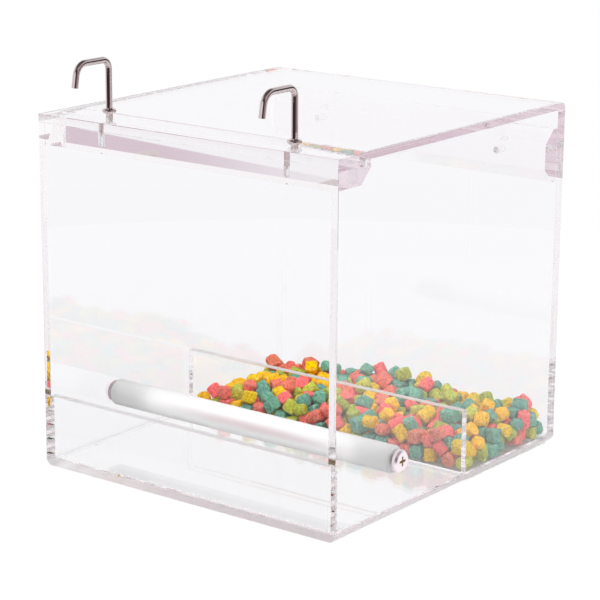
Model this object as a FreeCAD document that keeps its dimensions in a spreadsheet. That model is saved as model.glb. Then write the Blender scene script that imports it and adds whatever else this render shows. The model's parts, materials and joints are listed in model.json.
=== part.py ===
import FreeCAD, Part
import math
import os
import Sketcher

# Clear acrylic cage feeder: a box of glued sheets with an open front, a perch, a feed tray behind a
# low divider and two screw hooks that hang it on a cage. Millimetres, +Z up, front towards -Y.
# The origin is the middle of the underside.

SIZES = {
    # The box and its sheet
    "box_width": 200,
    "box_depth": 212,
    "box_height": 198,
    "sheet_thickness": 4.5,
    "joint_gap": 0.1,
    "edge_radius": 4,
    # Low sheets that stand on the floor
    "lip_height": 36,
    "divider_height": 36,
    "divider_setback": 118,
    # The two hook rails, cut from one bar
    "rail_width": 30,
    "rail_thickness": 12,
    "rail_bevel": 8,
    "rear_rail_drop": 10,
    # Screw hooks, measured from the underside of the collar
    "hook_spacing": 124,
    "hook_setback": 14.5,
    "hook_left_lift": 2.6,
    "hook_right_lift": 0.9,
    "hook_wire": 3.6,
    "hook_rise": 28.7,
    "hook_reach": 26.2,
    "hook_stem_bend": 5,
    "hook_leg_bend": 7,
    "hook_leg_drop": 12.3,
    "hook_leg_splay": 10,
    "hook_collar": 7.8,
    "hook_collar_height": 2.4,
    "hook_collar_bevel": 0.8,
    "hook_thread": 3.8,
    "hook_thread_length": 12,
    "hook_point": 2,
    "hook_clearance": 0.06,
    "hook_hole_spare": 3,
    "rear_hole_depth": 13,
    # Perch and its screws
    "perch_diameter": 15,
    "perch_height": 30,
    "perch_setback": 55,
    "perch_chamfer": 1.2,
    "screw_head": 12,
    "screw_head_height": 2.8,
    "screw_head_side": 1.7,
    "screw_head_face": 10,
    "screw_shank": 5,
    "screw_length": 24,
    "screw_clearance": 0.1,
    "screw_hole_spare": 3,
    "recess_length": 5.4,
    "recess_width": 1.3,
    "recess_depth": 1.6,
    # Feed in the tray: a bed and the pellets that stand out of it
    "feed_height": 15.5,
    "feed_left_height": 5.5,
    "feed_right_height": 12.5,
    "feed_slope_run": 45,
    "feed_clearance": 0.3,
    "pellet_width": 9.4,
    "pellet_length": 8.8,
    "pellet_rise": 0.4,
    "pellet_margin": 8,
}

# Pellets in a row across the tray, rows from front to back, and the sides of one pellet
PELLETS_ACROSS = 9
PELLET_ROWS = 4
PELLET_SIDES = 8

doc = FreeCAD.newDocument("cage_feeder")
sizes = doc.addObject("Spreadsheet::Sheet", "sizes")
for row, (alias, value) in enumerate(SIZES.items(), start=1):
    sizes.set(f"A{row}", alias)
    sizes.set(f"B{row}", str(value))
    sizes.setAlias(f"B{row}", alias)
doc.recompute()

# Places that several pieces share, as formulas of the sheet
WIDTH = "sizes.box_width"
SHEET = "sizes.sheet_thickness"
FRONT = "-sizes.box_depth / 2"
BACK = "sizes.box_depth / 2"
FLOOR = "(sizes.sheet_thickness + sizes.joint_gap)"
CEILING = f"(sizes.box_height - {FLOOR})"
WALL_HEIGHT = f"({CEILING} - {FLOOR})"
INNER_WIDTH = f"(sizes.box_width - 2 * {FLOOR})"
HOOK_SIDE = "sizes.hook_spacing / 2"
HOOK_ROW = f"({FRONT} + sizes.hook_setback)"
HOOK_HOLE = "(sizes.hook_thread + 2 * sizes.hook_clearance)"
HOOK_LOWEST = "min(sizes.hook_left_lift; sizes.hook_right_lift)"
HOOK_HOLE_DEPTH = f"(sizes.hook_thread_length - {HOOK_LOWEST} + sizes.hook_hole_spare)"
REAR_RAIL_TOP = "(sizes.box_height - sizes.sheet_thickness - sizes.rear_rail_drop)"
REAR_HOLE_HEIGHT = f"({REAR_RAIL_TOP} - sizes.rail_width / 2)"
PERCH_ROW = f"({FRONT} + sizes.perch_setback)"
SCREW_HOLE = "(sizes.screw_shank + 2 * sizes.screw_clearance)"
SCREW_REACH = f"(sizes.screw_length - {FLOOR} + sizes.screw_hole_spare)"
EDGE_ROUND = f"min(sizes.edge_radius; 0.95 * {SHEET})"
COLLAR_BEVEL = "min(sizes.hook_collar_bevel; 0.48 * sizes.hook_collar_height)"
HEAD_SIDE = "min(sizes.screw_head_side; 0.9 * sizes.screw_head_height)"
TRAY_FRONT = f"({FRONT} + sizes.divider_setback + {SHEET} + sizes.feed_clearance)"
TRAY_BACK = f"({BACK} - {SHEET} - sizes.feed_clearance)"
FEED_SIDE = f"({INNER_WIDTH} / 2 - sizes.feed_clearance)"
DRILL_POINT = 118
TUMBLE_TURN = 137.5
TUMBLE_TILT = 37
SAME_PLACE = 0.001


def number(formula):
    return float(sizes.evalExpression(formula))


def new_body(label, x="0", y="0", z="0"):
    body = doc.addObject("PartDesign::Body", label)
    body.Label = label
    for axis, formula in zip("xyz", (x, y, z)):
        body.setExpression(f"Placement.Base.{axis}", formula)
    return body


def new_sketch(body, name, role, lift="0"):
    """A sketch on one of the body's own origin planes, moved along the plane's normal by lift."""
    sketch = body.newObject("Sketcher::SketchObject", f"{body.Name}_{name}")
    plane = next(item for item in body.Origin.OriginFeatures if item.Role == role)
    sketch.AttachmentSupport = (plane, [""])
    sketch.MapMode = "FlatFace"
    sketch.setExpression("AttachmentOffset.Base.z", lift)
    return sketch


def fix_point(sketch, geometry, end, x, y):
    """Ties one point of a sketch to formulas for its two coordinates."""
    for kind, axis, formula in (("DistanceX", -2, x), ("DistanceY", -1, y)):
        if formula == "0":
            sketch.addConstraint(Sketcher.Constraint("PointOnObject", geometry, end, axis))
            continue
        index = sketch.addConstraint(Sketcher.Constraint(kind, -1, 1, geometry, end, number(formula)))
        sketch.setExpression(f"Constraints[{index}]", formula)


def draw_polygon(sketch, corners):
    points = [FreeCAD.Vector(number(x), number(y), 0) for x, y in corners]
    count = len(points)
    for index in range(count):
        sketch.addGeometry(Part.LineSegment(points[index], points[(index + 1) % count]), False)
    for index in range(count):
        sketch.addConstraint(Sketcher.Constraint("Coincident", index, 2, (index + 1) % count, 1))
    for index, (x, y) in enumerate(corners):
        fix_point(sketch, index, 1, x, y)


def draw_rectangle(sketch, left, right, low, high):
    draw_polygon(sketch, [(left, low), (right, low), (right, high), (left, high)])


def draw_circles(sketch, centres, diameter):
    normal = FreeCAD.Vector(0, 0, 1)
    for index, (x, y) in enumerate(centres):
        middle = FreeCAD.Vector(number(x), number(y), 0)
        sketch.addGeometry(Part.Circle(middle, normal, number(diameter) / 2), False)
        fix_point(sketch, index, 3, x, y)
        bound = sketch.addConstraint(Sketcher.Constraint("Diameter", index, number(diameter)))
        sketch.setExpression(f"Constraints[{bound}]", diameter)


def add_pad(body, sketch, length):
    pad = body.newObject("PartDesign::Pad", f"{body.Name}_pad")
    pad.Profile = sketch
    pad.setExpression("Length", length)
    doc.recompute()
    return pad


def add_revolution(body, sketch, axis):
    turned = body.newObject("PartDesign::Revolution", f"{body.Name}_turned")
    turned.Profile = sketch
    turned.ReferenceAxis = (sketch, [axis])
    turned.Angle = 360
    doc.recompute()
    return turned


def cut(feature):
    """Recomputes and makes sure that a cutting feature took material away."""
    before = feature.BaseFeature.Shape.Volume
    doc.recompute()
    if feature.Shape.Volume >= before:
        raise ValueError(f"{feature.Label} cuts nothing")
    return feature


def add_through_holes(body, sketch):
    pocket = body.newObject("PartDesign::Pocket", f"{body.Name}_holes")
    pocket.Profile = sketch
    pocket.Type = "ThroughAll"
    pocket.SideType = "Symmetric"
    return cut(pocket)


def add_drilled_holes(body, sketch, diameter, depth, reverse):
    doc.recompute()
    hole = body.newObject("PartDesign::Hole", f"{body.Name}_drilled")
    hole.Profile = sketch
    hole.DepthType = "Dimension"
    hole.DrillPoint = "Angled"
    hole.DrillPointAngle = DRILL_POINT
    hole.Reversed = reverse
    hole.setExpression("Diameter", diameter)
    hole.setExpression("Depth", depth)
    return cut(hole)


def round_edges(body, base, radius, wanted):
    """Rounds the edges of a feature whose middle point passes the wanted test."""
    names = []
    for index, edge in enumerate(base.Shape.Edges, start=1):
        middle = edge.valueAt((edge.FirstParameter + edge.LastParameter) / 2)
        if wanted(middle):
            names.append(f"Edge{index}")
    fillet = body.newObject("PartDesign::Fillet", f"{body.Name}_round")
    fillet.Base = (base, names)
    fillet.setExpression("Radius", radius)
    doc.recompute()
    return fillet


def is_near(value, formula):
    return abs(value - number(formula)) < SAME_PLACE


def flat_sheet(label, z):
    """Floor or roof: a sheet of the box's full width and depth."""
    body = new_body(label, z=z)
    outline = new_sketch(body, "outline", "XY_Plane")
    draw_rectangle(outline, f"-{WIDTH} / 2", f"{WIDTH} / 2", FRONT, BACK)
    return body, add_pad(body, outline, SHEET)


def cross_sheet(label, y, height):
    """A sheet that stands on the floor between the two sides; y is its front face."""
    body = new_body(label, y=f"{y} + {SHEET}", z=FLOOR)
    outline = new_sketch(body, "outline", "XZ_Plane")
    draw_rectangle(outline, f"-{INNER_WIDTH} / 2", f"{INNER_WIDTH} / 2", "0", height)
    add_pad(body, outline, SHEET)
    return body


def make_base_panel():
    body, sheet = flat_sheet("base_panel", "0")

    def lower_side_or_back(middle):
        at_side = is_near(abs(middle.x), f"{WIDTH} / 2")
        return is_near(middle.z, "0") and (at_side or is_near(middle.y, BACK))

    round_edges(body, sheet, EDGE_ROUND, lower_side_or_back)
    return body


def make_top_panel():
    body, sheet = flat_sheet("top_panel", f"sizes.box_height - {SHEET}")

    def upper_back(middle):
        return is_near(middle.z, SHEET) and is_near(middle.y, BACK)

    round_edges(body, sheet, EDGE_ROUND, upper_back)
    holes = new_sketch(body, "hook_holes", "XY_Plane")
    draw_circles(holes, [(f"-{HOOK_SIDE}", HOOK_ROW), (HOOK_SIDE, HOOK_ROW)], HOOK_HOLE)
    add_through_holes(body, holes)
    return body


def make_back_panel():
    body = cross_sheet("back_panel", f"{BACK} - {SHEET}", WALL_HEIGHT)
    height = f"{REAR_HOLE_HEIGHT} - {FLOOR}"
    holes = new_sketch(body, "hook_holes", "XZ_Plane")
    draw_circles(holes, [(f"-{HOOK_SIDE}", height), (HOOK_SIDE, height)], HOOK_HOLE)
    add_through_holes(body, holes)
    return body


def make_side_panel(label, x):
    body = new_body(label, x=x, z=FLOOR)
    outline = new_sketch(body, "outline", "YZ_Plane")
    draw_rectangle(outline, FRONT, BACK, "0", WALL_HEIGHT)
    add_pad(body, outline, SHEET)
    holes = new_sketch(body, "perch_hole", "YZ_Plane")
    draw_circles(holes, [(PERCH_ROW, f"sizes.perch_height - {FLOOR}")], SCREW_HOLE)
    add_through_holes(body, holes)
    return body


def make_front_rail():
    """Bar under the roof, square at the front and bevelled at its lower back edge."""
    body = new_body("front_hook_rail", f"-{INNER_WIDTH} / 2", FRONT, f"{CEILING} - sizes.rail_thickness")
    profile = new_sketch(body, "profile", "YZ_Plane")
    draw_polygon(profile, [
        ("0", "0"),
        ("sizes.rail_width - sizes.rail_bevel", "0"),
        ("sizes.rail_width", "sizes.rail_bevel"),
        ("sizes.rail_width", "sizes.rail_thickness"),
        ("0", "sizes.rail_thickness"),
    ])
    add_pad(body, profile, INNER_WIDTH)
    holes = new_sketch(body, "hook_holes", "XY_Plane", "sizes.rail_thickness")
    left = f"{INNER_WIDTH} / 2 - {HOOK_SIDE}"
    right = f"{INNER_WIDTH} / 2 + {HOOK_SIDE}"
    draw_circles(holes, [(left, "sizes.hook_setback"), (right, "sizes.hook_setback")], HOOK_HOLE)
    add_drilled_holes(body, holes, HOOK_HOLE, f"{HOOK_HOLE_DEPTH} - {FLOOR}", False)
    return body


def make_rear_rail():
    """Bar inside the back sheet, bevelled at both inner edges."""
    back = f"{BACK} - {FLOOR}"
    body = new_body("rear_hook_rail", f"-{INNER_WIDTH} / 2", back, f"{REAR_RAIL_TOP} - sizes.rail_width")
    profile = new_sketch(body, "profile", "YZ_Plane")
    draw_polygon(profile, [
        ("0", "0"),
        ("0", "sizes.rail_width"),
        ("sizes.rail_bevel - sizes.rail_thickness", "sizes.rail_width"),
        ("-sizes.rail_thickness", "sizes.rail_width - sizes.rail_bevel"),
        ("-sizes.rail_thickness", "sizes.rail_bevel"),
        ("sizes.rail_bevel - sizes.rail_thickness", "0"),
    ])
    add_pad(body, profile, INNER_WIDTH)
    holes = new_sketch(body, "hook_holes", "XZ_Plane")
    left = f"{INNER_WIDTH} / 2 - {HOOK_SIDE}"
    right = f"{INNER_WIDTH} / 2 + {HOOK_SIDE}"
    draw_circles(holes, [(left, "sizes.rail_width / 2"), (right, "sizes.rail_width / 2")], HOOK_HOLE)
    add_drilled_holes(body, holes, HOOK_HOLE, f"sizes.rear_hole_depth - {FLOOR}", True)
    return body


def draw_hook_path(sketch):
    """Stem, bend, level arm, bend and splayed leg, drawn in the hook's own upright plane."""
    rise = number("sizes.hook_rise")
    stem_bend = number("sizes.hook_stem_bend")
    leg_bend = number("sizes.hook_leg_bend")
    drop = number("sizes.hook_leg_drop")
    splay = math.radians(number("sizes.hook_leg_splay"))
    normal = FreeCAD.Vector(0, 0, 1)
    stem_start = FreeCAD.Vector(0, 0, 0)
    stem_end = FreeCAD.Vector(0, rise - stem_bend, 0)
    stem_centre = stem_end - FreeCAD.Vector(stem_bend, 0, 0)
    leg_end = FreeCAD.Vector(-number("sizes.hook_reach"), rise - drop, 0)
    leg_way = FreeCAD.Vector(-math.sin(splay), -math.cos(splay), 0)
    leg_length = (drop - leg_bend + leg_bend * math.sin(splay)) / math.cos(splay)
    leg_start = leg_end - leg_way * leg_length
    leg_centre = leg_start + FreeCAD.Vector(math.cos(splay), -math.sin(splay), 0) * leg_bend
    arm_start = stem_centre + FreeCAD.Vector(0, stem_bend, 0)
    arm_end = leg_centre + FreeCAD.Vector(0, leg_bend, 0)
    stem_circle = Part.Circle(stem_centre, normal, stem_bend)
    leg_circle = Part.Circle(leg_centre, normal, leg_bend)
    quarter = math.pi / 2
    sketch.addGeometry(Part.LineSegment(stem_start, stem_end), False)
    sketch.addGeometry(Part.ArcOfCircle(stem_circle, 0, quarter), False)
    sketch.addGeometry(Part.LineSegment(arm_start, arm_end), False)
    sketch.addGeometry(Part.ArcOfCircle(leg_circle, quarter, 2 * quarter - splay), False)
    sketch.addGeometry(Part.LineSegment(leg_start, leg_end), False)
    for first in range(4):
        sketch.addConstraint(Sketcher.Constraint("Tangent", first, 2, first + 1, 1))
    sketch.addConstraint(Sketcher.Constraint("Vertical", 0))
    sketch.addConstraint(Sketcher.Constraint("Horizontal", 2))
    fix_point(sketch, 0, 1, "0", "0")
    fix_point(sketch, 4, 2, "-sizes.hook_reach", "sizes.hook_rise - sizes.hook_leg_drop")
    bound = [
        (Sketcher.Constraint("DistanceY", -1, 1, 2, 1, rise), "sizes.hook_rise"),
        (Sketcher.Constraint("Radius", 1, stem_bend), "sizes.hook_stem_bend"),
        (Sketcher.Constraint("Radius", 3, leg_bend), "sizes.hook_leg_bend"),
        (Sketcher.Constraint("Angle", 4, -quarter - splay), "(-90 - sizes.hook_leg_splay) * 1 deg"),
    ]
    for constraint, formula in bound:
        index = sketch.addConstraint(constraint)
        sketch.setExpression(f"Constraints[{index}]", formula)


def make_hook(label, x, lift):
    """Bent wire with a collar and a screw shank; lift is how far the collar stands off the roof."""
    body = new_body(label, x, HOOK_ROW, f"sizes.box_height + {lift}")
    path = new_sketch(body, "path", "YZ_Plane")
    draw_hook_path(path)
    section = new_sketch(body, "section", "XY_Plane")
    draw_circles(section, [("0", "0")], "sizes.hook_wire")
    doc.recompute()
    wire = body.newObject("PartDesign::AdditivePipe", f"{label}_wire")
    wire.Profile = section
    wire.Spine = (path, [])
    doc.recompute()
    shank = new_sketch(body, "shank", "XZ_Plane")
    draw_polygon(shank, [
        ("0", "-sizes.hook_thread_length"),
        ("sizes.hook_thread / 2", "sizes.hook_point - sizes.hook_thread_length"),
        ("sizes.hook_thread / 2", "0"),
        (f"sizes.hook_collar / 2 - {COLLAR_BEVEL}", "0"),
        ("sizes.hook_collar / 2", COLLAR_BEVEL),
        ("sizes.hook_collar / 2", f"sizes.hook_collar_height - {COLLAR_BEVEL}"),
        (f"sizes.hook_collar / 2 - {COLLAR_BEVEL}", "sizes.hook_collar_height"),
        ("0", "sizes.hook_collar_height"),
    ])
    add_revolution(body, shank, "V_Axis")
    return body


def make_perch():
    """Rod between the two sides, chamfered at the ends and drilled for the screws."""
    body = new_body("perch_rod", "0", PERCH_ROW, "sizes.perch_height")
    half = f"{INNER_WIDTH} / 2"
    radius = "sizes.perch_diameter / 2"
    bore = f"{SCREW_HOLE} / 2"
    shoulder = f"{radius} - sizes.perch_chamfer"
    profile = new_sketch(body, "profile", "XZ_Plane")
    draw_polygon(profile, [
        (f"-{half}", bore),
        (f"{SCREW_REACH} - {half}", bore),
        (f"{SCREW_REACH} + {bore} - {half}", "0"),
        (f"{half} - {SCREW_REACH} - {bore}", "0"),
        (f"{half} - {SCREW_REACH}", bore),
        (half, bore),
        (half, shoulder),
        (f"{half} - sizes.perch_chamfer", radius),
        (f"sizes.perch_chamfer - {half}", radius),
        (f"-{half}", shoulder),
    ])
    add_revolution(body, profile, "H_Axis")
    return body


def make_screw(label, side):
    """Pan-head screw through one side sheet; side is 1 on the right and -1 on the left."""
    seat = f"{side} * ({WIDTH} / 2 + sizes.joint_gap)"
    body = new_body(label, seat, PERCH_ROW, "sizes.perch_height")
    body.Placement.Rotation = FreeCAD.Rotation(FreeCAD.Vector(0, 0, 1), 90 - 90 * side)
    profile = new_sketch(body, "profile", "XZ_Plane")
    draw_polygon(profile, [
        ("-sizes.screw_length", "0"),
        ("sizes.screw_head_height", "0"),
        ("sizes.screw_head_height", "sizes.screw_head_face / 2"),
        (HEAD_SIDE, "sizes.screw_head / 2"),
        ("0", "sizes.screw_head / 2"),
        ("0", "sizes.screw_shank / 2"),
        ("-sizes.screw_length", "sizes.screw_shank / 2"),
    ])
    add_revolution(body, profile, "H_Axis")
    cross = new_sketch(body, "recess", "YZ_Plane", "sizes.screw_head_height")
    arm = "sizes.recess_length / 2"
    slot = "sizes.recess_width / 2"
    draw_polygon(cross, [
        (f"-{slot}", f"-{arm}"), (slot, f"-{arm}"), (slot, f"-{slot}"),
        (arm, f"-{slot}"), (arm, slot), (slot, slot),
        (slot, arm), (f"-{slot}", arm), (f"-{slot}", slot),
        (f"-{arm}", slot), (f"-{arm}", f"-{slot}"), (f"-{slot}", f"-{slot}"),
    ])
    pocket = body.newObject("PartDesign::Pocket", f"{label}_recess_cut")
    pocket.Profile = cross
    pocket.setExpression("Length", "sizes.recess_depth")
    cut(pocket)
    return body


def make_feed_bed():
    """The feed below the pellets that stand out: wall to wall, thinner at the left end of the tray."""
    body = new_body("feed_bed", "0", TRAY_BACK, FLOOR)
    profile = new_sketch(body, "profile", "XZ_Plane")
    draw_polygon(profile, [
        (f"-{FEED_SIDE}", "0"),
        (FEED_SIDE, "0"),
        (FEED_SIDE, "sizes.feed_right_height"),
        ("0", "sizes.feed_height"),
        (f"sizes.feed_slope_run - {FEED_SIDE}", "sizes.feed_height"),
        (f"-{FEED_SIDE}", "sizes.feed_left_height"),
    ])
    add_pad(body, profile, f"{TRAY_BACK} - {TRAY_FRONT}")
    return body


def bed_height(x):
    """Formula for the height of the bed's surface above the floor, at a place across the tray."""
    left = f"sizes.feed_left_height + (sizes.feed_height - sizes.feed_left_height) * ({x} + {FEED_SIDE})"
    right = f"sizes.feed_height + (sizes.feed_right_height - sizes.feed_height) * ({x}) / {FEED_SIDE}"
    return f"min({left} / sizes.feed_slope_run; {right}; sizes.feed_height)"


def make_pellet(row, place):
    """One short drum of feed, half sunk in the bed and tumbled by an angle of its own."""
    index = row * PELLETS_ACROSS + place
    pellet = doc.addObject("Part::Prism", f"pellet_{index}")
    pellet.Polygon = PELLET_SIDES
    pellet.setExpression("Circumradius", "sizes.pellet_width / 2")
    pellet.setExpression("Height", "sizes.pellet_length")
    turn = FreeCAD.Rotation(index * TUMBLE_TURN, index * TUMBLE_TILT % 90, 0)
    pellet.Placement = FreeCAD.Placement(FreeCAD.Vector(), turn)
    share = (place + 0.25 + 0.5 * (row % 2)) / (PELLETS_ACROSS - 0.25)
    x = f"({2 * share - 1:.4f} * ({FEED_SIDE} - sizes.pellet_margin))"
    depth = f"({TRAY_BACK} - {TRAY_FRONT} - 2 * sizes.pellet_margin)"
    y = f"({TRAY_FRONT} + sizes.pellet_margin + {row / (PELLET_ROWS - 1):.4f} * {depth})"
    z = f"({FLOOR} + {bed_height(x)} + sizes.pellet_rise)"
    half_way = turn.multVec(FreeCAD.Vector(0, 0, 0.5))
    for axis, middle, step in zip("xyz", (x, y, z), half_way):
        pellet.setExpression(f"Placement.Base.{axis}", f"{middle} - {step:.4f} * sizes.pellet_length")
    return pellet


def make_feed():
    pellets = [make_pellet(row, place) for row in range(PELLET_ROWS) for place in range(PELLETS_ACROSS)]
    heap = doc.addObject("Part::MultiFuse", "feed_heap")
    heap.Shapes = [make_feed_bed(), *pellets]
    return heap


pieces = [
    make_base_panel(),
    make_top_panel(),
    make_back_panel(),
    make_side_panel("left_side_panel", f"-{WIDTH} / 2"),
    make_side_panel("right_side_panel", f"{WIDTH} / 2 - {SHEET}"),
    cross_sheet("front_lip", FRONT, "sizes.lip_height"),
    cross_sheet("tray_divider", f"{FRONT} + sizes.divider_setback", "sizes.divider_height"),
    make_front_rail(),
    make_rear_rail(),
    make_hook("hook_left", f"-{HOOK_SIDE}", "sizes.hook_left_lift"),
    make_hook("hook_right", HOOK_SIDE, "sizes.hook_right_lift"),
    make_perch(),
    make_screw("perch_screw_left", -1),
    make_screw("perch_screw_right", 1),
    make_feed(),
]
doc.recompute()

for item in doc.Objects:
    if "Invalid" in item.State or "Error" in item.State:
        raise ValueError(f"{item.Label} failed: {item.State}")
for piece in pieces:
    if piece.Shape.isNull() or not piece.Shape.isValid() or len(piece.Shape.Solids) != 1:
        raise ValueError(f"{piece.Label} is not one valid solid")

os.makedirs("parts", exist_ok=True)
for piece in pieces:
    piece.Shape.exportStep(f"parts/{piece.Label}.step")
    print(f"{piece.Label}: {piece.Shape.Volume / 1000:.2f} cm3")
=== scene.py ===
"""Looks of a clear acrylic cage feeder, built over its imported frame.

Metres, +Z up, the open front towards -Y. Every clear piece is cut from its frame node, so that
its glued faces can be told from its free ones; the feed is dropped into the tray by simulation.
"""

import json
import math
import random

import bmesh
import bpy
from mathutils import Euler, Matrix, Vector, noise


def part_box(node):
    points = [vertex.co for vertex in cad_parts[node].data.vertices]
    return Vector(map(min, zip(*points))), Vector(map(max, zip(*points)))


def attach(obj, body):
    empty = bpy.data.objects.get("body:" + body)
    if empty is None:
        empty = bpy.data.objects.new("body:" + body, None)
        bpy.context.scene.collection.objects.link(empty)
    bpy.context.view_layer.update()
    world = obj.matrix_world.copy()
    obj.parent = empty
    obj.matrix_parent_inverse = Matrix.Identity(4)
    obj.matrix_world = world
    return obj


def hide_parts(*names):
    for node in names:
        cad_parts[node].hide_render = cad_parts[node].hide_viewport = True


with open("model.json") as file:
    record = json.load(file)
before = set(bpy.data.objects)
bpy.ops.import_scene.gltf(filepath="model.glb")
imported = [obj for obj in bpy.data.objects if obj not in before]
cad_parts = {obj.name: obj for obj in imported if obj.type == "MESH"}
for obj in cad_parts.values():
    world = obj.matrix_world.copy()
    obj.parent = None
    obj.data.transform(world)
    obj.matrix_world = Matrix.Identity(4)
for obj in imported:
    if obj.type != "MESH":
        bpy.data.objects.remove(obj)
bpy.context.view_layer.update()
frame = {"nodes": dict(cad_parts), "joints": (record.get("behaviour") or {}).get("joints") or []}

MM = 0.001
SEED = 11

# Clear acrylic
ACRYLIC_IOR = 1.49
ACRYLIC_TINT = (0.66, 0.42, 0.53, 1.0)
SHEET_DENSITY = 0.5
TINTED_DENSITY = {
    "base_panel": 1.3, "top_panel": 4.5, "front_hook_rail": 1.3, "rear_hook_rail": 5.0,
}
SATIN_EDGES = {"base_panel": None, "front_lip": None, "tray_divider": None, "top_panel": (-1, 0, 0)}
SATIN_FACING = 0.5
FAINT_MIRROR = "tray_divider"
FAINT_SHARE = 0.55
EDGE_WIDTH = 6 * MM
EDGE_ROUGHNESS = 0.32
DRILLED_ROUGHNESS = 0.35
WELD = 0.002 * MM
FLAT_ANGLE = math.radians(0.2)
PARALLEL = 0.9999
GLUE_REACH = 0.15 * MM
BROAD_FACE = 60 * MM * MM
BROAD_WIDTH = 3 * MM
SHARP_ANGLE = math.radians(55)
EDGE_BREAK = 0.2 * MM
EDGE_BREAK_STEPS = 2
SHORT_EDGE = 2 * MM
BORE_LENGTH = 15 * MM
WET_BORE_NODES = ("top_panel", "front_hook_rail")
WET_BORE_REACH = 2.5 * MM
WALL_SLOPE = 0.5
CLEAR_NODES = (
    "base_panel", "top_panel", "back_panel", "left_side_panel", "right_side_panel",
    "front_lip", "tray_divider", "front_hook_rail", "rear_hook_rail",
)

# Hooks and their thread
CHROME_COLOURS = ((0.72, 0.63, 0.63), (0.62, 0.54, 0.54))
CHROME_PATCHES = 350.0
CHROME_ROUGHNESS = (0.0, 0.04)
SHANK_CUT = 0.2 * MM
SHANK_OVERLAP = 0.3 * MM
THREAD_RADIUS = 1.9 * MM
THREAD_DEPTH = 0.38 * MM
THREAD_PITCH = 1.05 * MM
THREAD_POINT = 2 * MM
THREAD_TIP_SHARE = 0.25
THREAD_SEGMENTS = 40
THREAD_STEPS = 10

# Perch screws
SCREW_COLOUR = (0.96, 0.86, 0.91)
# Painted shade with brown grime, down in the screws' cross recess
SCREW_RECESS_SHADE_AND_GRIME = (0.3, 0.18, 0.06)
SCREW_GRAIN = 1500.0
SCREW_ROUGHNESS = (0.28, 0.36)
RECESS_RADIUS = 2.9 * MM
RECESS_DEPTH = (0.1 * MM, 0.5 * MM)

# Feed pellets: a form has the power of its sides' curve, the power of its ends' curve and its share
PELLET_COUNT = 430
PELLET_FORMS = (
    ("drum", 2.0, 12.0, 0.5),
    ("block", 6.0, 8.0, 0.25),
    ("ball", 2.2, 3.0, 0.1),
    ("lobed", 2.8, 4.0, 0.15),
)
PELLET_SIZE = (7.0 * MM, 8.4 * MM)
PELLET_GIRTH = (0.9, 1.04)
PELLET_LENGTH = (0.82, 1.2)
PELLET_CUTS = 9
NOISE_SPAN = 100
SWELL = 0.09
LOBED_SWELL = 0.22
SWELL_SCALE = 1.4
LUMP = 0.05
LUMP_SCALE = 3.2
PIT = 0.018
PIT_SCALE = 7.5

# Feed colours, each with its share, and the pellets' surface
PELLET_COLOURS = {
    "coral": ((0.95, 0.21, 0.15), 0.34),
    "yellow": ((1.0, 0.58, 0.0), 0.22),
    "olive": ((0.51, 0.55, 0.06), 0.19),
    "teal": ((0.16, 0.41, 0.31), 0.25),
}
PELLET_ROUGHNESS = 0.85
PELLET_SPECULAR = 0.1
PELLET_HUES = (0.485, 0.512)
PELLET_VALUES = (1.12, 0.86)
MOTTLE_DARK = 0.9
MOTTLE_LIGHT = 1.08
MOTTLE_NOISE = (520.0, 4.0, 0.65)
GRAIN_SCALE = 780.0
GRAIN_NOISE = (GRAIN_SCALE, 3.0, 0.7)
GRAIN_VALUES = (-0.15, 2.2)
BUMP_NOISE = (GRAIN_SCALE, 4.0, 0.65)
BUMP_STRENGTH = 1.0
BUMP_HEIGHT = 0.8 * MM
RIM_POINTINESS = (0.51, 0.6)
RIM_SHARE = 0.3
RIM_PALENESS = 0.5

# Settling of the feed, at a hundred times its size
SETTLE_SCALE = 100
SETTLE_FRAMES = 85
SETTLE_SUBSTEPS = 8
SETTLE_ITERATIONS = 12
SETTLE_GRAVITY = 40.0
SETTLE_FRICTION = 0.7
SETTLE_BOUNCE = 0.05
SETTLE_MARGIN = 0.004
SETTLE_DRAG = 0.1
SETTLE_TURN_DRAG = 0.3
DROP_MARGIN = 7 * MM
DROP_HEIGHT = 14 * MM
DROP_STEP_MM = 0.55
DROP_LEAN = 0.76
WALL_THICKNESS = 40 * MM
WALL_HEIGHT = 400 * MM

# Frosted perch
PERCH_COLOUR = (0.92, 0.905, 0.92)
# Painted reflection: a pinkish streak along the rod's front stands in for the feed seen through the rod
PERCH_PAINTED_REFLECTION = (0.68, 0.58, 0.6)
PERCH_PAINTED_REFLECTION_RISE = 1.3 * MM
PERCH_PAINTED_REFLECTION_WIDTH = 4 * MM
PERCH_PAINTED_REFLECTION_LEFT = (-70 * MM, 0.0)
PERCH_PAINTED_REFLECTION_RIGHT = (80 * MM, 25 * MM)
PERCH_PAINTED_REFLECTION_PATCHES = 45.0
PERCH_PAINTED_REFLECTION_SHARES = (0.75, 1.25)
PERCH_CLEARNESS = 0.17
PERCH_MILKINESS = 45 * MM
PERCH_SANDING = (1800.0, 3.0)
PERCH_ROUGHNESS = (0.45, 0.6)

# Studio
WHITE = (1.0, 1.0, 1.0)
PANE_WHITE = (0.93, 0.927, 0.948)
FLOOR_PANE_WHITE = (0.895, 0.892, 0.912)
MIRROR_SWEEP = (0.955, 0.95, 0.965)
MIRROR_ROOM = (0.05, 0.035, 0.035)
MIRROR_CEILING = (0.13, 0.09, 0.09)
MIRROR_SIDE = (0.4, 0.31, 0.32)
INNER_ROOM = (1.0, 0.985, 0.995)
INNER_CEILING = (0.97, 0.95, 0.965)
ROOM_TURN = -20.0
ROOM_EDGE = (0.35, 0.75)
SIDE_TURN = 62.0
SIDE_EDGE = (0.72, 0.93)
WINDOW_TURN = -43.0
WINDOW_EDGE = (0.8, 0.92)
WINDOW_SILL = (-0.1, 0.02)
DOORWAY_TURN = 106.0
DOORWAY_EDGE = (0.86, 0.95)
DOORWAY_SILL = (-0.15, -0.02)
CEILING_EDGE = (0.45, 0.9)
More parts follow.
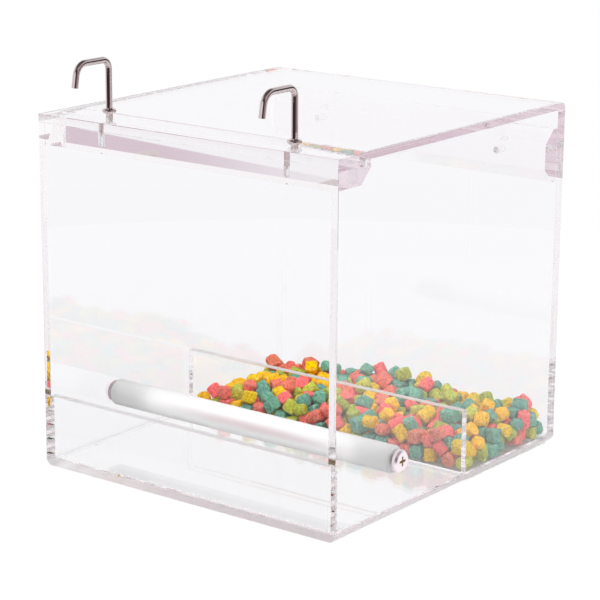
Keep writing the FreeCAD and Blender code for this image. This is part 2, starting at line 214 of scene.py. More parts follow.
LEFT_CEILING_EDGE = (0.1, -0.3)
LIGHT_WAY = (0.15, -0.25, 0.955)
LIGHT_EDGE = (0.2, 0.95)
LIGHT_LOW = (0.75, 0.745, 0.75)
LIGHT_HIGH = (3.0, 3.0, 3.0)
FLOOR_RADIUS = 0.6
FLOOR_SEGMENTS = 96
FLOOR_HEIGHT = -0.2 * MM
FLOOR_FADE = 3 * MM
FLOOR_FRONT = (-0.1, -0.16)
FLOOR_COLOUR = (0.92, 0.92, 0.93, 1.0)
FLOOR_MIRROR = (0.5, 0.45, 0.46)
FLOOR_GLOW = 0.94
FLOOR_GLOW_UNDER = 0.9
FLOOR_GLOW_TRAY = 0.05
CARD_SPAN = ((-0.47, -0.24), (-0.14, -0.05))
CARD_HEIGHT = 0.56
CARD_EDGE = -0.1842
CARD_EDGE_SLOPE = -0.0358
CARD_EDGE_FADE = 0.8 * MM
CARD_FAR = (-0.36, -0.18)
CARD_FAR_SHARE = 0.75
CARD_MAUVE = (0.68, 0.56, 0.63)
NO_BOUNCE = 0.5
CLEAR_BOUNCES = 128
TRANSPARENT_BOUNCES = 16
DIFFUSE_BOUNCES = 4

# Camera, fitted to the box's corners in the photograph
CAMERA_AZIMUTH = 37.36
CAMERA_ELEVATION = 14.85
CAMERA_ROLL = 0.361
CAMERA_AIM_HEIGHT = 99 * MM
CAMERA_DISTANCE = 1.24782
CAMERA_RIGHT = -3.14 * MM
CAMERA_UP = -9.38 * MM
CAMERA_LENS = 134.44
CAMERA_SENSOR = 36.0
CAMERA_REACH = 20.0

rng = random.Random(SEED)


def node(tree, kind, **values):
    """Adds a shader node; each value goes to the input of that name, or to the property."""
    made = tree.nodes.new(kind)
    for name, value in values.items():
        if name in made.inputs:
            made.inputs[name].default_value = value
        else:
            setattr(made, name, value)
    return made


def new_material(name):
    """A new material, with its node tree and its main shader."""
    made = bpy.data.materials.new(name)
    made.use_nodes = True
    return made, made.node_tree, made.node_tree.nodes["Principled BSDF"]


def math_node(tree, operation, first, second):
    """Adds a maths node over two sockets or numbers and returns its output."""
    made = node(tree, "ShaderNodeMath", operation=operation)
    for place, value in enumerate((first, second)):
        if isinstance(value, (int, float)):
            made.inputs[place].default_value = value
        else:
            tree.links.new(value, made.inputs[place])
    return made.outputs[0]


def map_range(tree, source, low, high):
    """Maps a 0 to 1 socket to the range from low to high."""
    made = node(tree, "ShaderNodeMapRange")
    made.inputs["To Min"].default_value = low
    made.inputs["To Max"].default_value = high
    tree.links.new(source, made.inputs["Value"])
    return made.outputs["Result"]


def smooth_step(tree, source, low, high):
    """Maps a socket smoothly to 0 at low and 1 at high."""
    made = node(tree, "ShaderNodeMapRange", interpolation_type="SMOOTHSTEP")
    made.inputs["From Min"].default_value = low
    made.inputs["From Max"].default_value = high
    tree.links.new(source, made.inputs["Value"])
    return made.outputs["Result"]


def mix_colour(tree, factor, first, second):
    """Mixes two colours, each a socket or three numbers, and returns the mix's socket."""
    made = node(tree, "ShaderNodeMix", data_type="RGBA")
    tree.links.new(factor, made.inputs["Factor"])
    for place, value in (("A", first), ("B", second)):
        if isinstance(value, tuple):
            made.inputs[place].default_value = (*value, 1.0)
        else:
            tree.links.new(value, made.inputs[place])
    return made.outputs["Result"]


def object_place(tree):
    """The sockets of a point's X, Y and Z."""
    split = node(tree, "ShaderNodeSeparateXYZ")
    tree.links.new(node(tree, "ShaderNodeTexCoord").outputs["Object"], split.inputs["Vector"])
    return tuple(split.outputs)


def noise_node(tree, scale, detail=2.0, roughness=0.5):
    """The socket of a noise that stays fixed to the piece."""
    made = node(tree, "ShaderNodeTexNoise", Scale=scale, Detail=detail, Roughness=roughness)
    place = node(tree, "ShaderNodeTexCoord")
    tree.links.new(place.outputs["Object"], made.inputs["Vector"])
    return made.outputs["Fac"]


def add_bump(tree, shader, height, strength, distance):
    """Roughens a shader's surface by a height socket."""
    bump = node(tree, "ShaderNodeBump", Strength=strength, Distance=distance)
    tree.links.new(height, bump.inputs["Height"])
    tree.links.new(bump.outputs["Normal"], shader.inputs["Normal"])


def make_acrylic(name, density):
    """Polished clear acrylic whose long paths turn pink; glued faces let light straight through."""
    made, tree, shader = new_material(name)
    shader.inputs["Base Color"].default_value = (*WHITE, 1.0)
    shader.inputs["IOR"].default_value = ACRYLIC_IOR
    shader.inputs["Transmission Weight"].default_value = 1.0
    glued = node(tree, "ShaderNodeAttribute", attribute_name="glued")
    tree.links.new(map_range(tree, glued.outputs["Fac"], ACRYLIC_IOR, 1.0), shader.inputs["IOR"])
    worked = node(tree, "ShaderNodeAttribute", attribute_name="worked")
    tree.links.new(worked.outputs["Fac"], shader.inputs["Roughness"])
    tint = node(tree, "ShaderNodeVolumeAbsorption", Color=ACRYLIC_TINT, Density=density)
    tree.links.new(tint.outputs["Volume"], tree.nodes["Material Output"].inputs["Volume"])
    return made


def make_chrome():
    """Bright plating, a little duller in patches."""
    made, tree, shader = new_material("bright_plating")
    shader.inputs["Metallic"].default_value = 1.0
    patches = noise_node(tree, CHROME_PATCHES)
    tree.links.new(mix_colour(tree, patches, *CHROME_COLOURS), shader.inputs["Base Color"])
    tree.links.new(map_range(tree, patches, *CHROME_ROUGHNESS), shader.inputs["Roughness"])
    return made


def make_frosted():
    """Milky rod with a finely sanded surface, and a pinkish streak along its front that is a painted
    reflection of the feed behind it.
    """
    made, tree, shader = new_material("frosted_acrylic")
    low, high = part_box("perch_rod")
    across, along, upright = object_place(tree)
    # Painted reflection of the feed: a pinkish streak along the rod's front, a little above its middle,
    # where the rod is less milky
    off_line = math_node(tree, "SUBTRACT", upright, (low.z + high.z) / 2 + PERCH_PAINTED_REFLECTION_RISE)
    painted_reflection = smooth_step(tree, math_node(tree, "ABSOLUTE", off_line, 0.0), PERCH_PAINTED_REFLECTION_WIDTH, 0.0)
    front = ((low.y + high.y) / 2, low.y)
    for place, edge in ((along, front), (across, PERCH_PAINTED_REFLECTION_LEFT), (across, PERCH_PAINTED_REFLECTION_RIGHT)):
        painted_reflection = math_node(tree, "MULTIPLY", painted_reflection, smooth_step(tree, place, *edge))
    patches = map_range(tree, noise_node(tree, PERCH_PAINTED_REFLECTION_PATCHES), *PERCH_PAINTED_REFLECTION_SHARES)
    painted_reflection = math_node(tree, "MULTIPLY", painted_reflection, patches)
    tree.links.new(mix_colour(tree, painted_reflection, PERCH_COLOUR, PERCH_PAINTED_REFLECTION), shader.inputs["Base Color"])
    shader.inputs["IOR"].default_value = ACRYLIC_IOR
    shader.inputs["Transmission Weight"].default_value = PERCH_CLEARNESS
    shader.inputs["Subsurface Radius"].default_value = WHITE
    shader.inputs["Subsurface Scale"].default_value = PERCH_MILKINESS
    tree.links.new(map_range(tree, painted_reflection, 1.0, 0.0), shader.inputs["Subsurface Weight"])
    sanding = noise_node(tree, *PERCH_SANDING)
    tree.links.new(map_range(tree, sanding, *PERCH_ROUGHNESS), shader.inputs["Roughness"])
    return made


def make_screw_metal():
    """Satin plating, with painted shade and brown grime down in the cross recess."""
    made, tree, shader = new_material("satin_screw")
    low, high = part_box("perch_screw_right")
    outward, along, upright = object_place(tree)
    depth = math_node(tree, "SUBTRACT", high.x, math_node(tree, "ABSOLUTE", outward, 0.0))
    along = math_node(tree, "SUBTRACT", along, (low.y + high.y) / 2)
    upright = math_node(tree, "SUBTRACT", upright, (low.z + high.z) / 2)
    along_squared = math_node(tree, "POWER", along, 2.0)
    upright_squared = math_node(tree, "POWER", upright, 2.0)
    squared = math_node(tree, "ADD", along_squared, upright_squared)
    inside = math_node(tree, "LESS_THAN", squared, RECESS_RADIUS ** 2)
    # Painted shade with grime: the cross recess turns darker, brown and less metallic with depth
    recess_shade_and_grime = math_node(tree, "MULTIPLY", inside, smooth_step(tree, depth, *RECESS_DEPTH))
    tree.links.new(mix_colour(tree, recess_shade_and_grime, SCREW_COLOUR, SCREW_RECESS_SHADE_AND_GRIME), shader.inputs["Base Color"])
    tree.links.new(map_range(tree, recess_shade_and_grime, 1.0, 0.0), shader.inputs["Metallic"])
    grain = noise_node(tree, SCREW_GRAIN)
    tree.links.new(map_range(tree, grain, *SCREW_ROUGHNESS), shader.inputs["Roughness"])
    return made


def make_pellet_material(name, colour):
    """Dry pressed feed: mottled, dusty and rough, with pale worn rims, each pellet a little different."""
    made, tree, shader = new_material(f"feed_{name}")
    shader.inputs["Roughness"].default_value = PELLET_ROUGHNESS
    shader.inputs["Specular IOR Level"].default_value = PELLET_SPECULAR
    geometry = node(tree, "ShaderNodeNewGeometry")
    own = geometry.outputs["Random Per Island"]
    dark = tuple(MOTTLE_DARK * c for c in colour)
    light = tuple(min(1.0, MOTTLE_LIGHT * c) for c in colour)
    shade = node(tree, "ShaderNodeHueSaturation")
    tree.links.new(mix_colour(tree, noise_node(tree, *MOTTLE_NOISE), dark, light), shade.inputs["Color"])
    tree.links.new(map_range(tree, own, *PELLET_HUES), shade.inputs["Hue"])
    grain = map_range(tree, noise_node(tree, *GRAIN_NOISE), *GRAIN_VALUES)
    own_value = map_range(tree, own, *PELLET_VALUES)
    tree.links.new(math_node(tree, "MULTIPLY", own_value, grain), shade.inputs["Value"])
    rim = smooth_step(tree, geometry.outputs["Pointiness"], *RIM_POINTINESS)
    rim = math_node(tree, "MULTIPLY", rim, RIM_SHARE)
    dust = tuple(c + RIM_PALENESS * (1.0 - c) for c in colour)
    tree.links.new(mix_colour(tree, rim, shade.outputs["Color"], dust), shader.inputs["Base Color"])
    add_bump(tree, shader, noise_node(tree, *BUMP_NOISE), BUMP_STRENGTH, BUMP_HEIGHT)
    return made


def add_piece(name, mesh, body, replaced):
    """Adds a piece that rides on a body and stands for a frame node."""
    made = bpy.data.objects.new(name, mesh)
    bpy.context.scene.collection.objects.link(made)
    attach(made, body)
    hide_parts(replaced)


def welded_shape(name):
    """A frame node's shape with the corners of its faces joined."""
    shape = bmesh.new()
    shape.from_mesh(frame["nodes"][name].data)
    bmesh.ops.remove_doubles(shape, verts=shape.verts, dist=WELD)
    return shape


def flat_shape(name):
    """A frame node's shape as one closed skin of flat and curved faces."""
    shape = welded_shape(name)
    bmesh.ops.dissolve_limit(shape, angle_limit=FLAT_ANGLE, verts=shape.verts, edges=shape.edges)
    return shape


def broad_planes(shape):
    """The shape's broad flat faces, each as a normal and its distance from the origin."""
    planes = []
    for face in shape.faces:
        if face.calc_area() > BROAD_FACE:
            planes.append((face.normal.copy(), face.normal.dot(face.verts[0].co)))
    return planes


def faces_against(shape, normal, distance):
    """Faces that look at the given plane across no more than a glue line."""
    found = []
    for face in shape.faces:
        opposite = face.normal.dot(normal) < -PARALLEL
        if opposite and abs(normal.dot(face.verts[0].co) - distance) < GLUE_REACH:
            found.append(face)
    return found


def mark_glue(shape, layer, neighbour):
    """Cuts the shape's faces around a neighbour's footprint and marks the glued part."""
    for normal, distance in neighbour:
        rims = [(n, d) for n, d in neighbour if abs(n.dot(normal)) < PARALLEL]
        for rim_normal, rim_distance in rims:
            touching = faces_against(shape, normal, distance)
            edges = {edge for face in touching for edge in face.edges}
            verts = {vert for face in touching for vert in face.verts}
            bmesh.ops.bisect_plane(
                shape, geom=touching + list(edges) + list(verts), dist=WELD,
                plane_co=rim_normal * rim_distance, plane_no=rim_normal,
            )
        for face in faces_against(shape, normal, distance):
            middle = face.calc_center_median()
            if all(n.dot(middle) < d for n, d in rims):
                face[layer] = 1.0


def longest(face):
    """Length of a face's longest edge."""
    return max(edge.calc_length() for edge in face.edges)


def narrow(face):
    """Whether a face is a thin strip."""
    return face.calc_area() / longest(face) < BROAD_WIDTH


def level(normal):
    """Whether a normal runs along one of the axes."""
    return max(abs(part) for part in normal) > PARALLEL


def keep_corners(shape):
    """Stops the shading of curved faces at every real corner."""
    for edge in shape.edges:
        if len(edge.link_faces) == 2 and edge.calc_face_angle() > SHARP_ANGLE:
            edge.smooth = False


def break_edges(shape, layer):
    """Takes the sharp corner off every free edge between two broad faces."""
    free = []
    for edge in shape.edges:
        if len(edge.link_faces) != 2 or not edge.is_convex or edge.calc_length() < SHORT_EDGE:
            continue
        broad = all(level(face.normal) or not narrow(face) for face in edge.link_faces)
        glued = any(face[layer] for face in edge.link_faces)
        if broad and not glued and edge.calc_face_angle() > SHARP_ANGLE:
            free.append(edge)
    cut = bmesh.ops.bevel(
        shape, geom=free, offset=EDGE_BREAK, segments=EDGE_BREAK_STEPS, profile=0.5,
        affect="EDGES", clamp_overlap=True,
    )
    for face in cut["faces"]:
        face.smooth = False


def hook_axis(side):
    """A point on the upright line that a hook turns about."""
    return Vector(next(j["pos_m"] for j in frame["joints"] if j["child"] == f"{side}_hook"))


def wet_bore(shape, layer):
    """The right hook's thread is bedded in its hole, which then no longer shows as a hole."""
    axis = hook_axis("right")
    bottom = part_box("hook_right")[0].z + THREAD_POINT
    bmesh.ops.bisect_plane(
        shape, geom=shape.verts[:] + shape.edges[:] + shape.faces[:], dist=WELD,
        plane_co=(0, 0, bottom), plane_no=(0, 0, 1),
    )
    for face in shape.faces:
        middle = face.calc_center_median()
        out = Vector((middle.x - axis.x, middle.y - axis.y))
        if out.length < WET_BORE_REACH and middle.z > bottom and abs(face.normal.z) < WALL_SLOPE:
            face[layer] = 1.0


def satin(name, face):
    """Whether a face is a cut edge left satin, all round the piece or only towards one side."""
    if name not in SATIN_EDGES or face.calc_area() / longest(face) > EDGE_WIDTH:
        return False
    way = SATIN_EDGES[name]
    return way is None or face.normal.dot(Vector(way)) > SATIN_FACING


def finish_faces(name, shape, glued, worked):
    """Marks drilled and satin faces as rough, and weakens the mirror of the faint piece's other faces."""
    for face in shape.faces:
        if face[glued]:
            continue
        if face.smooth and longest(face) < BORE_LENGTH:
            face[worked] = DRILLED_ROUGHNESS
        elif satin(name, face):
            face[worked] = EDGE_ROUGHNESS
        elif name == FAINT_MIRROR:
            face[glued] = FAINT_SHARE


def make_clear_piece(name, shapes):
    """A sheet or bar of clear acrylic, with its seams, broken edges and finishes."""
    shape = shapes[name].copy()
    glued = shape.faces.layers.float.new("glued")
    worked = shape.faces.layers.float.new("worked")
    for other, neighbour in shapes.items():
        if other != name:
            mark_glue(shape, glued, broad_planes(neighbour))
    for face in shape.faces:
        face.smooth = not level(face.normal) and narrow(face)
    keep_corners(shape)
    break_edges(shape, glued)
    if name in WET_BORE_NODES:
        wet_bore(shape, glued)
    finish_faces(name, shape, glued, worked)
    mesh = bpy.data.meshes.new(f"{name}_clear")
    shape.to_mesh(mesh)
    mesh.materials.append(make_acrylic(f"acrylic_{name}", TINTED_DENSITY.get(name, SHEET_DENSITY)))
    add_piece(f"{name}_clear", mesh, "feeder_box", name)


def thread_rings(top, tip):
    """Heights of the rings that draw a thread from its top down to its tip."""
    count = math.ceil((top - tip) / THREAD_PITCH * THREAD_STEPS)
    return [top + (tip - top) * i / count for i in range(count + 1)]


def thread_radius(height, turn, tip, neck):
    """Radius of a shank at a height and a turn: plain above its neck, threaded below, thin at its tip."""
    phase = (height / THREAD_PITCH - turn) % 1.0
    ridge = 1.0 - abs(2.0 * phase - 1.0)
    cut = THREAD_DEPTH * min(1.0, max(0.0, (neck - height) / THREAD_PITCH))
    taper = min(1.0, THREAD_TIP_SHARE + (1.0 - THREAD_TIP_SHARE) * (height - tip) / THREAD_POINT)
    return (THREAD_RADIUS - cut * (1.0 - ridge)) * taper


def add_thread(shape, axis, top, tip):
    """Adds a closed threaded shank to a shape, threaded from the roof's top downwards."""
    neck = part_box("top_panel")[1].z
    rings = []
    for height in thread_rings(top, tip):
        ring = []
        for i in range(THREAD_SEGMENTS):
            turn = i / THREAD_SEGMENTS
            radius = thread_radius(height, turn, tip, neck)
            angle = 2 * math.pi * turn
            across = axis.x + radius * math.cos(angle)
            along = axis.y + radius * math.sin(angle)
            ring.append(shape.verts.new((across, along, height)))
        rings.append(ring)
    for upper, lower in zip(rings, rings[1:]):
        for i in range(THREAD_SEGMENTS):
            j = (i + 1) % THREAD_SEGMENTS
            shape.faces.new((upper[i], lower[i], lower[j], upper[j])).smooth = True
    shape.faces.new(rings[0])
    shape.faces.new(reversed(rings[-1]))


def make_hook(side, chrome):
    """The frame's hook with its plain shank changed for a threaded one."""
    name = f"hook_{side}"
    axis = hook_axis(side)
    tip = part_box(name)[0].z
    shape = welded_shape(name)
    below = [vert for vert in shape.verts if vert.co.z < axis.z - SHANK_CUT]
    bmesh.ops.delete(shape, geom=below, context="VERTS")
    rim = [edge for edge in shape.edges if edge.is_boundary]
    bmesh.ops.holes_fill(shape, edges=rim)
    for face in shape.faces:
        face.smooth = not level(face.normal)
    keep_corners(shape)
    add_thread(shape, axis, axis.z + SHANK_OVERLAP, tip)
    bmesh.ops.recalc_face_normals(shape, faces=shape.faces)
    mesh = bpy.data.meshes.new(f"{name}_threaded")
    shape.to_mesh(mesh)
    mesh.materials.append(chrome)
    add_piece(f"{name}_threaded", mesh, f"{side}_hook", name)


def pellet_shape(form, side_power, end_power):
    """One pellet about its own middle: a lumpy superquadric."""
    size = rng.uniform(*PELLET_SIZE) / 2
    half = [size * rng.uniform(*PELLET_GIRTH) for _ in range(2)] + [size * rng.uniform(*PELLET_LENGTH)]
    if form == "drum":
        half[1] = half[0]
    swell = LOBED_SWELL if form == "lobed" else SWELL
    offset = Vector(rng.uniform(0, NOISE_SPAN) for _ in range(3))
    shape = bmesh.new()
    bmesh.ops.create_cube(shape, size=2.0)
    bmesh.ops.subdivide_edges(shape, edges=shape.edges, cuts=PELLET_CUTS, use_grid_fill=True)
    for vert in shape.verts:
        ray = vert.co.normalized()
        x, y, z = (abs(part) / h for part, h in zip(ray, half))
        section = (x ** side_power + y ** side_power) ** (end_power / side_power)
        reach = (section + z ** end_power) ** (-1 / end_power)
        lump = 1 + swell * noise.noise(ray * SWELL_SCALE + offset)
        lump += LUMP * noise.noise(ray * LUMP_SCALE + offset) + PIT * noise.noise(ray * PIT_SCALE + offset)
        vert.co = ray * reach * lump
    for face in shape.faces:
        face.smooth = True
    mesh = bpy.data.meshes.new("pellet")
    shape.to_mesh(mesh)
    shape.free()
    return mesh


def drop_spot(number, low, high):
    """A place above the tray, thinner towards the left wall, as the feed lies in the photograph."""
    width = high.x - low.x - 2 * DROP_MARGIN
    across = low.x + DROP_MARGIN + width * rng.random() ** DROP_LEAN
    along = rng.uniform(low.y + DROP_MARGIN, high.y - DROP_MARGIN)
    return Vector((across, along, low.z + DROP_HEIGHT + number * DROP_STEP_MM * MM))


def wall_objects(low, high):
    """The tray's floor and four walls as thick blocks, at the size the pellets settle in."""
    thick = WALL_THICKNESS
    tall = WALL_HEIGHT
    spans = (
        ((low.x - thick, low.y - thick, low.z - thick), (high.x + thick, high.y + thick, low.z)),
        ((low.x - thick, low.y - thick, low.z - thick), (low.x, high.y + thick, low.z + tall)),
        ((high.x, low.y - thick, low.z - thick), (high.x + thick, high.y + thick, low.z + tall)),
        ((low.x - thick, low.y - thick, low.z - thick), (high.x + thick, low.y, low.z + tall)),
        ((low.x - thick, high.y, low.z - thick), (high.x + thick, high.y + thick, low.z + tall)),
    )
    walls = []
    for near, far in spans:
        near, far = Vector(near) * SETTLE_SCALE, Vector(far) * SETTLE_SCALE
        shape = bmesh.new()
        size = Matrix.Diagonal((*(far - near), 1.0))
        bmesh.ops.create_cube(shape, size=1.0, matrix=size)
        mesh = bpy.data.meshes.new("wall")
        shape.to_mesh(mesh)
        wall = bpy.data.objects.new("wall", mesh)
        wall.location = (near + far) / 2
        walls.append(wall)
    return walls


def make_rigid(objects, kind, form):
    """Adds the objects to the settling, as bodies that move or stand still."""
    bpy.ops.object.select_all(action="DESELECT")
    for thing in objects:
        bpy.context.scene.collection.objects.link(thing)
        thing.select_set(True)
    bpy.context.view_layer.objects.active = objects[0]
    bpy.ops.rigidbody.objects_add(type=kind)
    for thing in objects:
        thing.rigid_body.collision_shape = form
        thing.rigid_body.friction = SETTLE_FRICTION
        thing.rigid_body.restitution = SETTLE_BOUNCE
        thing.rigid_body.use_margin = True
        thing.rigid_body.collision_margin = SETTLE_MARGIN
        thing.rigid_body.linear_damping = SETTLE_DRAG
        thing.rigid_body.angular_damping = SETTLE_TURN_DRAG


def real_lie(place, turn):
    """How a pellet lies at its real size, from its place and turn in the settling."""
    return Matrix.Translation(place / SETTLE_SCALE) @ turn.to_matrix().to_4x4()


def settle(meshes, low, high):
    """Drops one body per mesh into the tray and returns how each one comes to lie."""
    scene = bpy.context.scene
    bodies = []
    for number, mesh in enumerate(meshes):
        grown = mesh.copy()
        grown.transform(Matrix.Scale(SETTLE_SCALE, 4))
        body = bpy.data.objects.new("settling", grown)
        body.location = drop_spot(number, low, high) * SETTLE_SCALE
        body.rotation_euler = Euler(rng.uniform(0, 2 * math.pi) for _ in range(3))
        bodies.append(body)
    walls = wall_objects(low, high)
    bpy.ops.rigidbody.world_add()
    scene.rigidbody_world.collection = bpy.data.collections.new("settling")
    scene.rigidbody_world.point_cache.frame_end = SETTLE_FRAMES
    scene.rigidbody_world.substeps_per_frame = SETTLE_SUBSTEPS
    scene.rigidbody_world.solver_iterations = SETTLE_ITERATIONS
    gravity = scene.gravity.copy()
    scene.gravity = (0, 0, -SETTLE_GRAVITY)
    make_rigid(bodies, "ACTIVE", "CONVEX_HULL")
    make_rigid(walls, "PASSIVE", "BOX")
    for number in range(1, SETTLE_FRAMES + 1):
        scene.frame_set(number)
    depsgraph = bpy.context.evaluated_depsgraph_get()
    rests = []
    for body in bodies:
        lie = body.evaluated_get(depsgraph).matrix_world
        rests.append(real_lie(lie.translation, lie.to_quaternion()))
    bpy.ops.rigidbody.world_remove()
    for thing in bodies + walls:
        bpy.data.objects.remove(thing)
    scene.gravity = gravity
    scene.frame_set(1)
    return rests


def make_feed():
    """All pellets, settled in the tray and joined into one piece per colour."""
    low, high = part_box("feed_heap")
    forms = rng.choices(PELLET_FORMS, [form[3] for form in PELLET_FORMS], k=PELLET_COUNT)
    shares = [share for _, share in PELLET_COLOURS.values()]
    colours = rng.choices(list(PELLET_COLOURS), shares, k=PELLET_COUNT)
    meshes = [pellet_shape(*form[:3]) for form in forms]
    rests = settle(meshes, low, high)
    for name, (colour, _) in PELLET_COLOURS.items():
        joined = bmesh.new()
        for mesh, rest, own in zip(meshes, rests, colours):
            if own == name:
                placed = mesh.copy()
                placed.transform(rest)
                joined.from_mesh(placed)
        mesh = bpy.data.meshes.new(f"pellets_{name}")
        joined.to_mesh(mesh)
        joined.free()
        mesh.materials.append(make_pellet_material(name, colour))
        add_piece(f"pellets_{name}", mesh, "feeder_box", "feed_heap")


def path_masks(tree):
    """Masks for a light path: seen with no mirror between, through no clear sheet, from no lit surface."""
    path = node(tree, "ShaderNodeLightPath")
    unlit = math_node(tree, "LESS_THAN", path.outputs["Diffuse Depth"], NO_BOUNCE)
    straight = math_node(tree, "LESS_THAN", path.outputs["Glossy Depth"], NO_BOUNCE)
    outside = math_node(tree, "LESS_THAN", path.outputs["Transmission Depth"], NO_BOUNCE)
    seen = math_node(tree, "MULTIPLY", unlit, straight)
    return seen, outside, unlit


def along_way(tree, direction, way):
    """How far a direction socket points along a fixed way, from -1 to 1."""
    made = node(tree, "ShaderNodeVectorMath", operation="DOT_PRODUCT")
    tree.links.new(direction, made.inputs[0])
    made.inputs[1].default_value = way
    return made.outputs["Value"]


def facing(tree, direction, turn):
    """How far a direction points to a side of the studio, turned so far from the photograph's side."""
    angle = math.radians(CAMERA_AZIMUTH + turn)
    return along_way(tree, direction, (math.sin(angle), -math.cos(angle), 0.0))


def opening(tree, direction, height, turn, edge, sill):
    """A window or doorway: one towards its side and above its sill."""
    side = smooth_step(tree, facing(tree, direction, turn), *edge)
    return math_node(tree, "MULTIPLY", side, smooth_step(tree, height, *sill))


def make_world():
    """A white sweep behind the object, a dim room behind the camera and soft light from above."""
    world = bpy.data.worlds.new("studio")
    bpy.context.scene.world = world
    world.use_nodes = True
    tree = world.node_tree
    tree.nodes.clear()
    direction = node(tree, "ShaderNodeTexCoord").outputs["Generated"]
    split = node(tree, "ShaderNodeSeparateXYZ")
    tree.links.new(direction, split.inputs["Vector"])
    across = split.outputs["X"]
    height = split.outputs["Z"]
    seen, outside, unlit = path_masks(tree)
    overhead = smooth_step(tree, along_way(tree, direction, LIGHT_WAY), *LIGHT_EDGE)
    light = mix_colour(tree, overhead, LIGHT_LOW, LIGHT_HIGH)
    room_side = smooth_step(tree, facing(tree, direction, ROOM_TURN), *ROOM_EDGE)
    right_side = smooth_step(tree, facing(tree, direction, SIDE_TURN), *SIDE_EDGE)
    ceiling = smooth_step(tree, height, *CEILING_EDGE)
    window = opening(tree, direction, height, WINDOW_TURN, WINDOW_EDGE, WINDOW_SILL)
    doorway = opening(tree, direction, height, DOORWAY_TURN, DOORWAY_EDGE, DOORWAY_SILL)
    mirror = mix_colour(tree, right_side, MIRROR_SWEEP, MIRROR_SIDE)
    mirror = mix_colour(tree, room_side, mirror, MIRROR_ROOM)
    mirror = mix_colour(tree, doorway, mirror, MIRROR_ROOM)
    mirror = mix_colour(tree, window, mirror, WHITE)
    mirror = mix_colour(tree, ceiling, mirror, MIRROR_CEILING)
    left = smooth_step(tree, across, *LEFT_CEILING_EDGE)
    inner = mix_colour(tree, room_side, WHITE, INNER_ROOM)
    inner = mix_colour(tree, math_node(tree, "MULTIPLY", ceiling, left), inner, INNER_CEILING)
    reflected = mix_colour(tree, outside, inner, mirror)
    shown = mix_colour(tree, unlit, light, reflected)
    shown = mix_colour(tree, seen, shown, mix_colour(tree, outside, PANE_WHITE, WHITE))
    sky = node(tree, "ShaderNodeBackground", Strength=1.0)
    tree.links.new(shown, sky.inputs["Color"])
    tree.links.new(sky.outputs["Background"], node(tree, "ShaderNodeOutputWorld").inputs["Surface"])


def between(tree, value, low, high):
    """One between two limits, fading to nought a little outside them."""
    above = smooth_step(tree, value, low - FLOOR_FADE, low + FLOOR_FADE)
    return math_node(tree, "MULTIPLY", above, smooth_step(tree, value, high + FLOOR_FADE, high - FLOOR_FADE))


def floor_masks(tree):
    """Where the floor lies under the base, and where under the feed."""
    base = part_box("base_panel")
    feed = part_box("feed_heap")
    across, along, _ = object_place(tree)
    wide = between(tree, across, base[0].x, base[1].x)
    under = math_node(tree, "MULTIPLY", wide, between(tree, along, base[0].y, base[1].y))
    tray = math_node(tree, "MULTIPLY", wide, between(tree, along, feed[0].y, feed[1].y))
    return under, tray


def floor_glow(tree, seen, under, tray):
    """How much of the floor glows: less under the base and, looked at straight, hardly under the feed."""
    glow = map_range(tree, under, FLOOR_GLOW, FLOOR_GLOW_UNDER)
    dark = math_node(tree, "MULTIPLY", tray, seen)
    less = math_node(tree, "MULTIPLY", dark, FLOOR_GLOW_UNDER - FLOOR_GLOW_TRAY)
    return math_node(tree, "SUBTRACT", glow, less)


def stage_sheet(name, shape, height):
    """Adds a flat sheet to the studio, with an empty material, and returns it with its node tree."""
    mesh = bpy.data.meshes.new(name)
    shape.to_mesh(mesh)
    made = bpy.data.objects.new(name, mesh)
    made.location.z = height
    bpy.context.scene.collection.objects.link(made)
    material = bpy.data.materials.new(name)
    material.use_nodes = True
    material.cycles.emission_sampling = "NONE"
    material.node_tree.nodes.clear()
    mesh.materials.append(material)
    return made, material.node_tree


def glow_shader(tree, colour):
    """A glow of strength one in the colour of a socket."""
    glow = node(tree, "ShaderNodeEmission", Strength=1.0)
    tree.links.new(colour, glow.inputs["Color"])
    return glow.outputs["Emission"]


def end_in_mix(tree, factor, first, second):
    """Ends a material in a mix of two shaders."""
    mix = node(tree, "ShaderNodeMixShader")
    tree.links.new(factor, mix.inputs["Fac"])
    tree.links.new(first, mix.inputs[1])
    tree.links.new(second, mix.inputs[2])
    tree.links.new(mix.outputs["Shader"], node(tree, "ShaderNodeOutputMaterial").inputs["Surface"])


def make_floor():
    """A white floor that glows where it is looked at and keeps a trace of the shadow."""
    shape = bmesh.new()
    bmesh.ops.create_circle(shape, cap_ends=True, segments=FLOOR_SEGMENTS, radius=FLOOR_RADIUS)
    _, tree = stage_sheet("floor", shape, FLOOR_HEIGHT)
    matte = node(tree, "ShaderNodeBsdfDiffuse", Color=FLOOR_COLOUR)
    seen, outside, unlit = path_masks(tree)
    _, along, _ = object_place(tree)
    front = smooth_step(tree, along, *FLOOR_FRONT)
    mirrored = math_node(tree, "MULTIPLY", outside, math_node(tree, "SUBTRACT", 1.0, seen))
    under, tray = floor_masks(tree)
    shown = mix_colour(tree, outside, mix_colour(tree, under, FLOOR_PANE_WHITE, PANE_WHITE), WHITE)
    shown = mix_colour(tree, math_node(tree, "MULTIPLY", front, mirrored), shown, FLOOR_MIRROR)
    share = math_node(tree, "MULTIPLY", unlit, floor_glow(tree, seen, under, tray))
    end_in_mix(tree, share, matte.outputs["BSDF"], glow_shader(tree, shown))


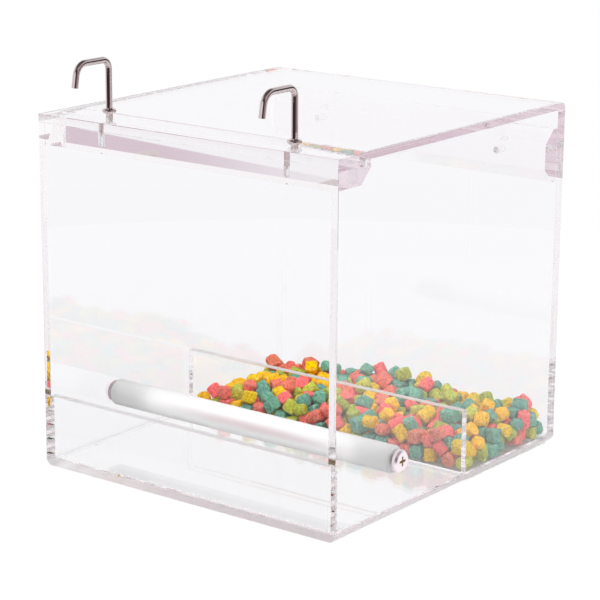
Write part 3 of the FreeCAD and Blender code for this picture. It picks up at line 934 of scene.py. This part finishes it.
def make_ceiling_card():
    """A card over the roof that only clear pieces show: white behind a slanting edge, mauve before it."""
    shape = bmesh.new()
    low, high = CARD_SPAN
    corners = ((low[0], low[1]), (low[0], high[1]), (high[0], high[1]), (high[0], low[1]))
    shape.faces.new([shape.verts.new((x, y, 0)) for x, y in corners])
    card, tree = stage_sheet("ceiling_card", shape, CARD_HEIGHT)
    card.visible_camera = False
    card.visible_diffuse = False
    card.visible_shadow = False
    _, outside, _ = path_masks(tree)
    across, along, _ = object_place(tree)
    edge = math_node(tree, "ADD", math_node(tree, "MULTIPLY", across, CARD_EDGE_SLOPE), CARD_EDGE)
    behind = math_node(tree, "SUBTRACT", along, edge)
    white = smooth_step(tree, behind, -CARD_EDGE_FADE, CARD_EDGE_FADE)
    far = math_node(tree, "MULTIPLY", smooth_step(tree, across, *CARD_FAR), CARD_FAR_SHARE)
    inner = mix_colour(tree, math_node(tree, "MAXIMUM", white, far), CARD_MAUVE, PANE_WHITE)
    nothing = node(tree, "ShaderNodeBsdfTransparent").outputs["BSDF"]
    end_in_mix(tree, outside, glow_shader(tree, inner), nothing)


def make_camera():
    """The camera that the photograph was taken with, as fitted."""
    azimuth, elevation, roll = (
        math.radians(angle) for angle in (CAMERA_AZIMUTH, CAMERA_ELEVATION, CAMERA_ROLL)
    )
    forward = -Vector((
        math.sin(azimuth) * math.cos(elevation),
        -math.cos(azimuth) * math.cos(elevation),
        math.sin(elevation),
    ))
    right = forward.cross(Vector((0, 0, 1))).normalized()
    up = right.cross(forward)
    right, up = (
        right * math.cos(roll) + up * math.sin(roll),
        up * math.cos(roll) - right * math.sin(roll),
    )
    eye = Vector((0, 0, CAMERA_AIM_HEIGHT)) - forward * CAMERA_DISTANCE
    eye = eye + right * CAMERA_RIGHT + up * CAMERA_UP
    lens = bpy.data.cameras.new("camera")
    lens.lens = CAMERA_LENS
    lens.sensor_width = CAMERA_SENSOR
    lens.clip_end = CAMERA_REACH
    made = bpy.data.objects.new("camera", lens)
    turn = Matrix((right, up, -forward)).transposed().to_4x4()
    made.matrix_world = Matrix.Translation(eye) @ turn
    bpy.context.scene.collection.objects.link(made)
    bpy.context.scene.camera = made


def set_light_paths():
    """Light bounces many times inside the sheets' edges before it leaves them."""
    cycles = bpy.context.scene.cycles
    cycles.max_bounces = CLEAR_BOUNCES
    cycles.glossy_bounces = CLEAR_BOUNCES
    cycles.transmission_bounces = CLEAR_BOUNCES
    cycles.transparent_max_bounces = TRANSPARENT_BOUNCES
    cycles.diffuse_bounces = DIFFUSE_BOUNCES


def set_node_material(name, made):
    """Gives a frame node that stays in view its own material."""
    slots = frame["nodes"][name].data.materials
    slots.clear()
    slots.append(made)


chrome = make_chrome()
screw_metal = make_screw_metal()
clear_shapes = {name: flat_shape(name) for name in CLEAR_NODES}
for clear_name in CLEAR_NODES:
    make_clear_piece(clear_name, clear_shapes)
for hook_side in ("left", "right"):
    make_hook(hook_side, chrome)
    set_node_material(f"perch_screw_{hook_side}", screw_metal)
set_node_material("perch_rod", make_frosted())
make_feed()

make_world()
make_floor()
make_ceiling_card()
make_camera()
set_light_paths()
bpy.context.scene.view_settings.view_transform = "Standard"
